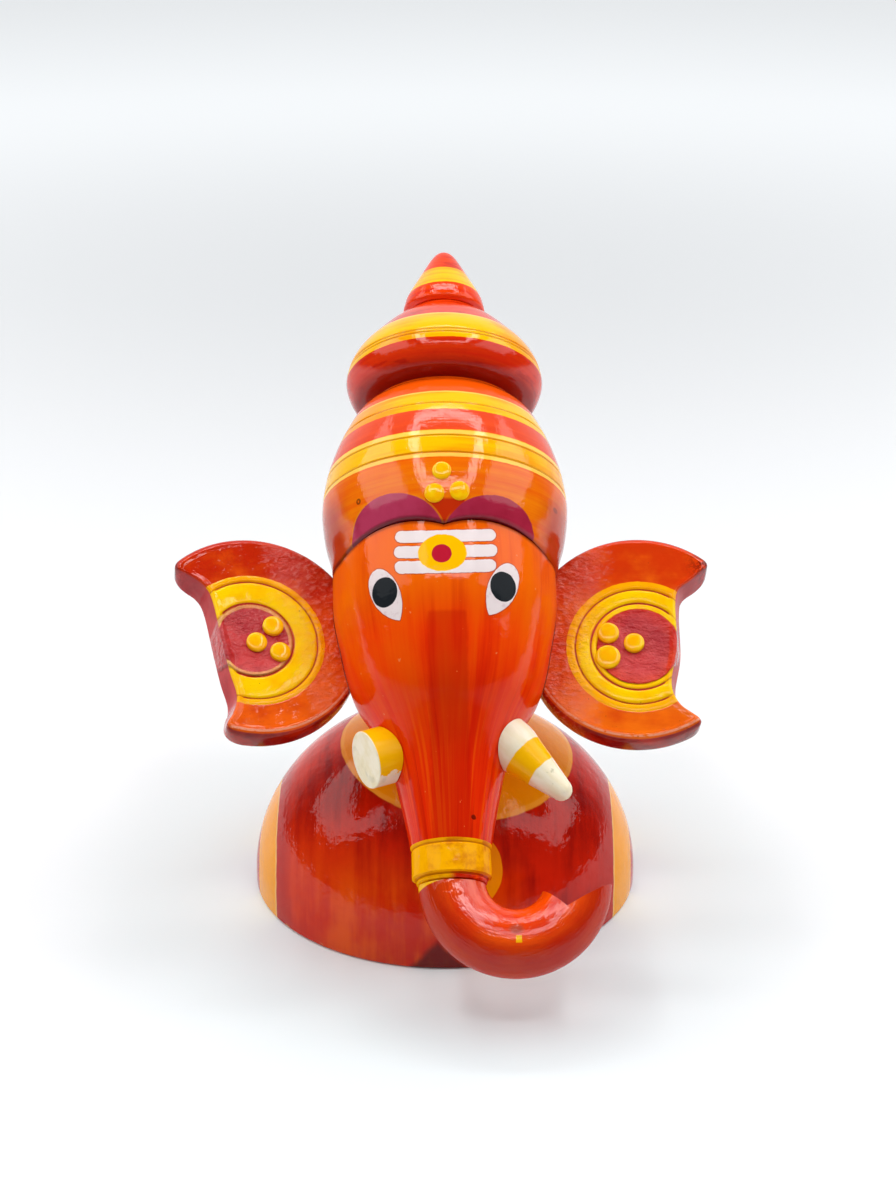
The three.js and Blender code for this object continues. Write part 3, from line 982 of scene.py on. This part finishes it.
def head_material():
    paint, lay, mix, noise = new_paint("painted_head_lacquer", HEAD_FRAME)
    x, v = paint.x, paint.z
    u = paint.angle() * HEAD_ARC
    streak = noise(paint.around(5, 0.02), 4, 0.55)
    fine = noise(paint.around(22, 0.03, 7), 3, 0.6)
    cloud = noise((0.06, 0.06, 0.05), 2, seed=3)
    shade = streak + fine.centred(0.35) + cloud.centred(0.5)
    lay(mix(shade.rise(0.15, 0.95), VERMILION, ORANGE))
    lay(BROW, v.rise(-12, 2) * 0.6)
    lay(TRUNK, v.rise(-2, -42) * 0.7)
    lay(DEEP_RED, shade.rise(0.5, 0.2) * 0.4)

    on_trunk = v.rise(-14, -34)
    runs = noise(paint.around(9, 0.012, 4), 4, 0.6)
    lay(RUNS, runs.rise(0.52, 0.62) * on_trunk * 0.7)
    lay(DEEP_RED, runs.rise(0.46, 0.38) * on_trunk * 0.55)
    stripe = abs(x - 0.2) - STRIPE_HALF + noise(0.5, 2).centred(0.6)
    lay(DEEP_RED, stripe.inside(0.9) * v.rise(-6.4, -7.4) * 0.45)

    small = noise(0.9, 2).centred(0.35)
    raised = []

    def thick_mark(colour, distance, edged=True):
        if edged:
            lay(PAINT_EDGE, distance.between(-0.1, 0.2, 0.2) * 0.5)
        raised.append(distance.inside())
        lay(colour, raised[-1])

    level = v - u * u * FOREHEAD_SAG
    for middle, left, right in FOREHEAD_LINES:
        beyond_end = u - u.at_least(left).at_most(right)
        thick_mark(WHITE, length(beyond_end, level - middle) + small - LINE_HALF)
    oval = length((u + 0.42) * 0.82, v - 5.3) + small - 4.1
    thick_mark(YELLOW, oval, edged=False)
    spot = length(u + 0.58, v - 5.1) + small * 0.4 - 2.05
    lay(SPOT, spot.inside())

    soil = noise(0.7, 4, 0.6).rise(0.52, 0.72)
    eye_white = mix(soil * 0.5, WHITE, SOILED)
    for pupil_u, pupil_v, lean in EYES:
        almond, pupil = eye_distances(u - pupil_u, v - pupil_v, radians(lean))
        thick_mark(eye_white, almond + small * 0.6)
        lay(PUPIL, (pupil + small * 0.5).inside())
    thick = reduce(Field.at_least, raised)

    band = (v + small * 0.3).between(BAND_BOTTOM + 0.2, BAND_TOP + 0.75)
    band = band.at_least(v.rise(-57.4, -57.6) * x.rise(1, -1))
    lay(BAND, band)
    grime = band * noise(0.28, 4, 0.6).rise(0.42, 0.64)
    lay(AMBER, grime * x.rise(-7, -2) * 0.7)
    for groove in (BAND_BOTTOM, BAND_TOP):
        paint.groove(v - groove, 0.16, 0.25)
    # Painted shade: the head darkens just under the crown's overhanging rim.
    lay(PAINTED_SHADE_UNDER_CROWN, paint.joint_gap().rise(-0.9, -0.1) * 0.6)
    speck = (length(x - 4.7, v + 46.5) + small - 0.5).inside(0.2)
    lay(SPECK, speck * paint.y.rise(-4, -5) * 0.8)
    pale = noise((0.9, 0.9, 0.72), 2, 0.4, seed=9.9).rise(0.755, 0.775)
    lay(PALE_SPECK, pale * 0.5)

    ridges = noise(paint.around(30, 0.04, 2), 2)
    height = thick * 0.06 + noise(0.45, 2) * 0.07 + ridges * 0.016 + noise(1.2, 2) * 0.016
    return paint.finish(height, coat=0.56 - band.at_least(thick) * 0.4)


def crown_material():
    paint, lay, mix, noise = new_paint("banded_crown_lacquer", CROWN_FRAME)
    turn, v = paint.angle(), paint.z
    u = turn * CROWN_ARC
    streak = noise((0.03, 0.03, 0.9), 4, 0.55)
    cloud = noise((0.05, 0.05, 0.09), seed=9)
    shade = streak + cloud.centred(0.7)
    mottle = noise((0.1, 0.1, 0.4), 4, 0.6, seed=2).rise(0.54, 0.66)
    upper = v.rise(48, 52)
    lay(mix(shade.rise(0.3, 0.75), *CROWN_REDS))
    lay(UPPER, upper * v.rise(72, 68) * 0.55)
    lay(MOTTLE, mottle * upper * 0.6)
    # Painted sheen: the red band between the two lower yellow bands is lightened to coral, as the side lamps
    # wash it.
    lay(PAINTED_SHEEN_CORAL, v.between(32, 39) * 0.6)
    lay(mix(shade.rise(0.3, 0.8), *CROWN_AMBERS), v.rise(27, 25))
    # Painted shade: the low part of the crown darkens on the sides that turn away.
    far_side_shade = (abs(turn) + cloud.centred(0.5)).rise(0.85, 1.15)
    lay(PAINTED_SHADE_FAR_SIDE, far_side_shade * v.rise(26.5, 19) * 0.85)

    sharp = noise(0.6, 2).centred(0.2)
    edge = v + sharp
    smudge = (cloud + streak.centred(0.6)).rise(0.42, 0.68)
    golden = mix(smudge * 0.8, YELLOW, SMUDGED)
    for low, high in CROWN_BANDS:
        lay(golden, edge.between(low, high, 0.16))
    for low, high in CROWN_PALE_LINES:
        lay(PALE_YELLOW, edge.between(low, high, 0.2) * 0.45)
    lay(WAIST, edge.between(44.4, 50.8, 0.2))
    for groove in LOWER_GROOVES + UPPER_GROOVES:
        paint.groove(v - groove, 0.14, 0.25)
    lay(MAROON, v.rise(54.5, 51) * v.rise(50.6, 50.9) * 0.8)

    lay(WEDGE, (abs(u) - 4.2).inside(0.3) * v.rise(17.2, 16.4))
    left, right = [
        (length((u - middle) / half, (v - low) / (high - low)) - 1) * 9
        for middle, half, low, high in CROWN_LOBES
    ]
    lobe = left.at_most(right)
    purple = mix(u.rise(-16, 14), *LOBE_TONES)
    purple = mix(noise(0.25).rise(0.375, 1.125), purple, PURPLE)
    lay(purple, (lobe + sharp * 1.5).inside(0.2))
    hem = lobe.between(0.02, 0.3, 0.2) * u.rise(2, -1) * v.rise(18.5, 17)
    lay(HEM, hem * 0.5)
    scar = length((u - 29) * 0.5, v - 20.2) + sharp - 0.55
    lay(SCAR, scar.inside(0.3) * 0.6)
    # Painted shade: the crown's lower edge darkens where it meets the head.
    lay(PAINTED_SHADE_AT_CROWN_RIM, paint.joint_gap().rise(1, 0.25) * 0.75)
    knot = abs(length(u + 20, v - 19.2) - 0.45) - 0.2
    lay(KNOT, knot.inside(0.15) * 0.8)

    lathe = noise((0.02, 0.02, 2.6), 2, seed=4)
    chatter = noise(paint.around(34, 0.25, 6), 2)
    height = noise(0.4, 2) * 0.06 + lathe * 0.02 + chatter * 0.025 + noise(1.2, 2) * 0.022
    return paint.finish(height, coat=0.9, coat_roughness=0.07)


def dome_material():
    paint, lay, mix, noise = new_paint("dome_lacquer")
    x, y, z = paint.x, paint.y, paint.z
    streak = noise((0.42, 0.045, 0.045), 4)
    cloud = noise((0.05, 0.045, 0.045), 4, 0.55, seed=5)
    shade = streak * 0.6 + cloud * 0.4 + cloud.centred(0.7)
    lay(mix(shade.rise(0.28, 0.66), *DOME_DARKS))
    # Painted light: the low front of the dome takes lighter tones, where the white table lights it and shows
    # in it.
    lit_low_front = (z + cloud.centred(24)).rise(30, 12) * y.rise(4, -16)
    lit_low_front = lit_low_front * abs(x + 12).rise(34, 16)
    lay(mix(shade.rise(0.34, 0.72), *DOME_PAINTED_LIGHT_TONES), lit_low_front)
    # Painted shadow of the trunk: a dark patch on the dome under it.
    trunk_shadow = abs(x + 1.5) - 6 + z * 0.9 + cloud.centred(6)
    lay(PAINTED_TRUNK_SHADOW, trunk_shadow.inside(2.4) * 0.85 * y.rise(-20, -30))
    lay(DOME_LEFT, x.rise(-16, -32) * shade.rise(0.2, 0.6) * 0.6)

    wobble = noise(0.3, 2).centred(0.3)
    edge = abs(x) + wobble
    lay(DOME_END, edge.rise(33, 36.5))
    lay(END_BAND, edge.between(37.9, 42.6, 0.25))
    lay(END_LINE, edge.between(37.75, 38, 0.2))
    collar = length(x - 2.7, y + 2.2) + wobble
    above = z.rise(26, 28)
    lay(COLLAR, (collar - 26.2).inside(0.25) * above)
    # Painted light: a lighter ring along the yellow disc's edge.
    lay(PAINTED_LIGHT_COLLAR_EDGE, collar.between(25.4, 26.3, 0.3) * above * 0.6)
    disc = length(x - 5.2, z - 21) + wobble - 7.2
    lay(DISC, disc.inside(0.25) * y.rise(-8, -12))
    chips = noise((0.25, 0.25, 0.6), 3, 0.7).rise(0.62, 0.66)
    lay(BARE_WOOD, chips * z.rise(1.3, 0.5) * 0.8)

    lathe = noise((1.5, 0.02, 0.02), 2, seed=2)
    height = noise(0.22) * 0.2 + noise(0.8, 2) * 0.03 + lathe * 0.03
    return paint.finish(height + noise(0.5, 3, 0.6) * 0.07)


def ear_material(name, ear):
    paint, lay, mix, noise = new_paint(name + "_lacquer", ear_matrix(ear))
    x, y, z = paint.x, paint.y, paint.z
    inner, outer = ear["yellow"]
    wide, _ = ear["grooves"]
    cx, cy = ear["offset"]
    radius = ear["radius"]
    toward_head = x * -ear["outward"]
    reach = length(x, y)
    cloud = noise(0.09, 4, 0.6)
    grain = noise((0.05, 0.4, 0.1), 4, 0.6, seed=radius)
    shade = cloud + grain.centred(0.35) + y * -0.008
    face = mix(shade.rise(0.25, 0.75), *ear["face_tones"])
    face = mix(toward_head.rise(8, 20) * 0.45, face, NEAR_HEAD)
    lay(face)
    edge = reach + noise(0.7, 2).centred(0.3)
    lay(mix(shade.rise(0.35, 0.7), *ear["centre_tones"]), (edge - inner).inside(0.2))
    on_ring = edge.between(inner, outer, 0.2)
    lay(mix(cloud.rise(0.4, 0.65), *RING_YELLOWS), on_ring)
    lay(OUTER_RING, edge.between(wide, outer, 0.2) * 0.55)
    if ear["pale_ring"]:
        lay(PALE_RING, edge.between(*ear["pale_ring"], 0.2) * 0.85)
    for groove in ear["grooves"]:
        paint.groove(reach - groove, 0.18, 0.3, cloud.rise(0.4, 0.6) * 0.4 + 0.35)

    from_disc = length(x - cx, y - cy)
    # Painted shade: the bite's wall and the rim take darker tones than the face, deepest on the rim.
    below = z.rise(-0.35, -0.65)
    lay(mix(cloud.rise(0.35, 0.65), *PAINTED_SHADE_BITE_TONES), below)
    shaded_rim = below * from_disc.rise(radius - 1.9, radius - 1.3)
    lay(mix(cloud.rise(0.35, 0.65), *PAINTED_SHADE_RIM_TONES), shaded_rim)
    lay(face, z.rise(-EAR_THICKNESS + 0.5, -EAR_THICKNESS + 0.2))

    # A pale, broken line along the lower front edge of the ear.
    edge_breaks = noise(0.8, 3, 0.65).rise(0.34, 0.5)
    front_edge = from_disc.between(radius - 1.25, radius - 0.85, 0.25) * z.rise(-0.9, -0.6)
    lay(PALE_EDGE_LINE, front_edge * edge_breaks * y.rise(4, -2) * 0.8)
    lay(EAR_SPECK, noise(1.4, 2).rise(0.73, 0.78) * 0.7)
    tips = abs(y).rise(15.5, 20) * toward_head.rise(-8, -14)
    lay(TIP_CHIP, tips * noise(1.1, 3, 0.7).rise(0.47, 0.53) * 0.8)
    wrinkle = noise((0.7, 1.1, 0.7), 3, 0.6)
    # Painted glints: pale pink flecks near the head stand for light caught by the crackled lacquer.
    lay(PAINTED_CRACKLE_GLINTS, toward_head.rise(8, 17) * wrinkle.rise(0.5, 0.64) * 0.3)

    rough_zone = toward_head.rise(4, 15) * 1.1 + (edge - inner).inside(0.6) * 1.1 + 0.06
    brush = noise((0.3, 1.8, 0.3), seed=3)
    swell = noise((0.2, 0.34, 0.2), 2, seed=8)
    bend = (toward_head - 4).at_least(0)
    height = wrinkle * rough_zone * 0.4 + swell * rough_zone * 0.6 + bend * bend * -0.003
    height = height + noise(0.3) * 0.16 + brush * 0.03
    return paint.finish(height, coat=0.9 - on_ring * 0.4, coat_roughness=0.07)


def curl_material():
    paint, lay, mix, noise = new_paint("curl_lacquer", HEAD_FRAME)
    x, y, z = paint.x, paint.y, paint.z
    across, down = x - CURL_RING, z - CURL_HEIGHT
    reach = length(across, down)
    ring_turn = across.angle_from(-down)

    def along_ring(through, along, detail=3):
        return noise(paint.join(reach * through, y * through, ring_turn * along), detail)

    cloud = noise(0.12)
    shade = along_ring(0.35, 0.9, 4) + cloud.centred(0.7)
    lay(mix(shade.rise(0.2, 0.85), *CURL_TONES))
    # Painted shade on the outer, lower side of the curl.
    lay(PAINTED_CURL_UNDERSHADE, reach.rise(13, 17.5) * 0.7)
    below_band = -z - 58.6 + x * 0.22 + cloud.centred(1.2)
    lay(YELLOW, below_band.inside(0.2) * x.rise(1, -1))
    facing = y.rise(-5, -6)
    fleck = abs(x - 13).at_least(abs(z + 71.4) * 0.85) + cloud.centred(0.4) - 0.62
    lay(YELLOW, fleck.inside(0.15) * facing)
    smudge = length((x - 12.6) * 0.7, z + 69.4) + cloud.centred(1) - 1
    lay(CURL_SMUDGE, smudge.inside(0.9) * facing * 0.6)

    height = noise(0.25) * 0.1 + along_ring(2.2, 5) * 0.09 + along_ring(0.9, 7) * 0.1
    coat = 1 - reach.rise(13.5, 17.5) * 0.5
    return paint.finish(height, coat, coat_roughness=0.05, coat_ior=CURL_IOR)


def whole_tusk_material():
    paint, lay, mix, noise = new_paint("whole_tusk_paint", tusk_matrix(WHOLE_TUSK))
    along = paint.z
    grain = noise((0.6, 0.6, 0.08), 4)
    lay(mix(grain.rise(0.3, 0.7), WHOLE_GRAIN, IVORY))
    lay(YELLOW, (along + noise(0.35, 2).centred(0.8)).between(4.2, 9.6, 0.25))
    spots = noise(0.55).rise(0.58, 0.7)
    lay(TIP, along.rise(9.8, 12) * spots * 0.5)
    return paint.finish(noise(0.8) * 0.05, coat=0.6, coat_roughness=0.2)


def broken_tusk_material():
    """Yellow on the upper side, as the brush left it, and bare wood below and on the cut end."""
    matrix = tusk_matrix(BROKEN_TUSK)
    paint, lay, mix, noise = new_paint("broken_tusk_paint", matrix)
    grain = noise((0.35, 0.35, 0.08), 4)
    lay(mix(grain.rise(0.3, 0.7), BROKEN_GRAIN, IVORY))
    upward = matrix.to_3x3().inverted() @ Vector((0, -0.35, 1)).normalized()
    wobble = noise(0.4, 4, 0.6).centred(5) - 1
    painted = -(paint.x * upward.x + paint.y * upward.y + wobble)
    painted = painted.inside(0.3) * paint.z.rise(6.3, 6.1)
    lay(YELLOW, painted)
    smudge = noise(0.3).rise(0.55, 0.75)
    lay(SAWN_GREY, smudge * (1 - painted) * 0.3)
    saw = noise((1.6, 0.15, 0.4))
    return paint.finish(saw * 0.1, coat=0.4, coat_roughness=0.25)


def dot_material():
    paint, lay, mix, noise = new_paint("thick_yellow_paint")
    lay(mix(noise(0.5, 2).rise(0.35, 0.7), *DOT_YELLOWS))
    return paint.finish(noise(0.6, 2) * 0.04)


def paint_drop(name, radius, height, matrix):
    """A low cap of thick paint that ends a little under the surface it sits on."""
    profile = [(radius, -0.6)]
    for k in range(DROP_STEPS):
        angle = QUARTER_TURN * k / DROP_STEPS
        reach = radius * cos(angle) ** 0.7
        dimple = 0.14 * height * max(0, 1 - reach / (0.35 * radius)) ** 2
        profile.append((reach, height * sin(angle) - dimple))
    return turned(name, profile, DROP_SIDES, matrix)


def surface_matrix(profile, axis_frame, height, angle):
    """A frame that stands on a turned surface, its Z along the surface's normal."""
    step = 0.5
    slope = (radius_at(profile, height + step) - radius_at(profile, height - step)) / (2 * step)
    radius = radius_at(profile, height)
    outward = Vector((sin(angle), -cos(angle), -slope))
    point = Vector((radius * sin(angle), -radius * cos(angle), height))
    return axis_frame @ Matrix.Translation(point) @ upright_along(outward)


def build_drops(material):
    """The dots of thick yellow paint on the crown and in the ears."""
    lower, _, _ = crown_profile()
    for k, (height, angle, radius) in enumerate(CROWN_DOTS, 1):
        place = surface_matrix(lower, CROWN_FRAME, height, radians(angle))
        dress(paint_drop(f"crown_dot_{k}", radius, CROWN_DOT_HEIGHT, place), material)
    for name, ear in EARS.items():
        for k, (x, y, radius) in enumerate(ear["dots"], 1):
            place = ear_matrix(ear) @ Matrix.Translation(Vector((x, y, 0)))
            dress(paint_drop(f"{name}_dot_{k}", radius, EAR_DOT_HEIGHT, place), material)


def build_camera():
    data = bpy.data.cameras.new("camera")
    data.lens = CAMERA_LENS
    data.sensor_width = CAMERA_SENSOR
    camera = link_object("camera", data)
    camera.location = CAMERA_PLACE
    camera.rotation_euler = (CAMERA_PITCH, 0, 0)
    bpy.context.scene.camera = camera
    bpy.context.scene.view_settings.view_transform = "Standard"


def build_floor():
    """A wide white table that glows more with distance and fades into the sweep, painted darker in front as
    shade where the light falls off.
    """
    size = FLOOR_HALF_SIZE
    mesh = bpy.data.meshes.new("floor")
    corners = [(-size, -size, 0), (size, -size, 0), (size, size, 0), (-size, size, 0)]
    mesh.from_pydata(corners, [], [(0, 1, 2, 3)])
    floor = link_object("floor", mesh)
    paint, lay, mix, _ = new_paint("white_floor")
    away = length(paint.x, paint.y)
    # Painted shade: in front of the figure the floor is darker and glows less, as if the light fell off
    # there.
    front_falloff = paint.y.rise(-120, -230)
    glow = away.rise(60, 1200) * FLOOR_GLOW + FLOOR_NEAR_GLOW
    glow = glow * (paint.y.rise(-400, 50) * 0.6 + 0.4)
    glow = glow * (1 - away.rise(900, 2300) * 0.2)
    glow = glow * (1 - front_falloff * 0.8)
    lay(mix(front_falloff, FLOOR_WHITE, FLOOR_FRONT_PAINTED_SHADE))
    # A bluish tint painted near the figure, to offset the pink light that its red lacquer throws on the
    # floor.
    lay(FLOOR_TINT_AGAINST_BOUNCE, away.rise(115, 55))
    mesh.materials.append(paint.finish(0, coat=0, roughness=0.7))
    paint.feed(paint.shader.inputs["Alpha"], away.rise(3600, 1100))
    paint.feed(paint.shader.inputs["Emission Color"], FLOOR_GLOW_TINT)
    paint.feed(paint.shader.inputs["Emission Strength"], glow)


def build_room():
    """The light of the room: a white sweep behind the figure, and little in front of it."""
    world = bpy.data.worlds.new("tent")
    bpy.context.scene.world = world
    nodes = Nodes(world)
    coords = Field(nodes, nodes.node("ShaderNodeTexCoord").outputs["Generated"])
    backward = Field(nodes, nodes.node("ShaderNodeSeparateXYZ", coords).outputs[1])
    light = backward.rise(SWEEP_START, SWEEP_FULL) * SWEEP_LIGHT + ROOM_LIGHT
    nodes.node("ShaderNodeOutputWorld", nodes.field("ShaderNodeBackground", ROOM_TINT, light))


def build_lamps():
    """Lamps that face down: four strips in a frame, and a wide soft one on each side."""
    for name, x, y, wide, deep, radiance in LAMPS:
        data = bpy.data.lights.new(name, "AREA")
        data.shape = "RECTANGLE"
        data.size, data.size_y = wide, deep
        data.energy = radiance * pi * wide * deep
        link_object(name, data).location = (x, y, LAMP_HEIGHT)


def dress(piece, material, node=None):
    """Gives a piece its material and the node that it replaces, if any."""
    piece.data.materials.clear()
    piece.data.materials.append(material)
    if node:
        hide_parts(node)
    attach(piece, "root")


def main():
    build_camera()
    build_floor()
    build_room()
    build_lamps()
    head, crown = build_head(), build_crown()
    dress(head, head_material(), "head_trunk")
    dress(crown, crown_material(), "crown")
    dress(build_dome(), dome_material(), "body_dome")
    dress(build_curl(), curl_material(), "trunk_curl")

    cutter = mesh_object("cutter", *closed_rings(head_rings(CUTTER_SIDES, CUTTER_GROW)), HEAD_FRAME)
    for name, ear in EARS.items():
        piece = build_ear("painted_" + name, ear)
        cut(piece, [cutter, crown])
        dress(piece, ear_material(name, ear), name)
    for piece, node, material in (
        (build_whole_tusk(), "tusk_whole", whole_tusk_material()),
        (build_broken_tusk(), "tusk_broken", broken_tusk_material()),
    ):
        cut(piece, [cutter])
        dress(piece, material, node)
    bpy.data.objects.remove(cutter)
    build_drops(dot_material())


main()
